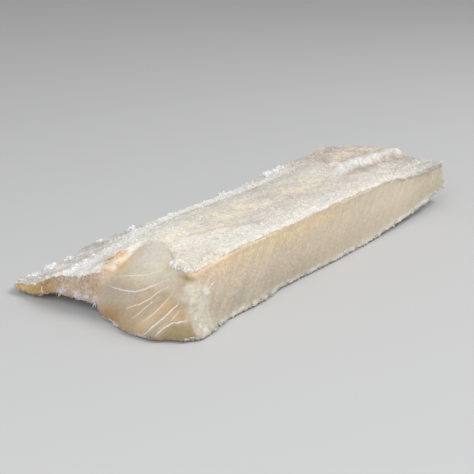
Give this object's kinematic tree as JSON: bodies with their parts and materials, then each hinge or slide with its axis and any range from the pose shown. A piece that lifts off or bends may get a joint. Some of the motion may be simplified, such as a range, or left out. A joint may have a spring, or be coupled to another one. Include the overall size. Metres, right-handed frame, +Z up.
{
  "type": "salted dried cod loin",
  "caption": "Thick loin cut from a split, salt-cured cod, with its thin belly flap, crusted with salt on top and cut square across both ends",
  "frame": {"origin": "centre of the bounding box's base, on the surface that the loin lies on", "axes": "+X along the loin from the thick cross cut to the tail end, +Y across it from the straight back cut to the thin belly edge, +Z up out of the salted flesh side"},
  "size_m": [0.3646, 0.1506, 0.0461],
  "materials": {
    "salted_flesh": "matte"
  },
  "bodies": {
    "root": {"cod_loin": "salted_flesh"}
  },
  "joints": []
}
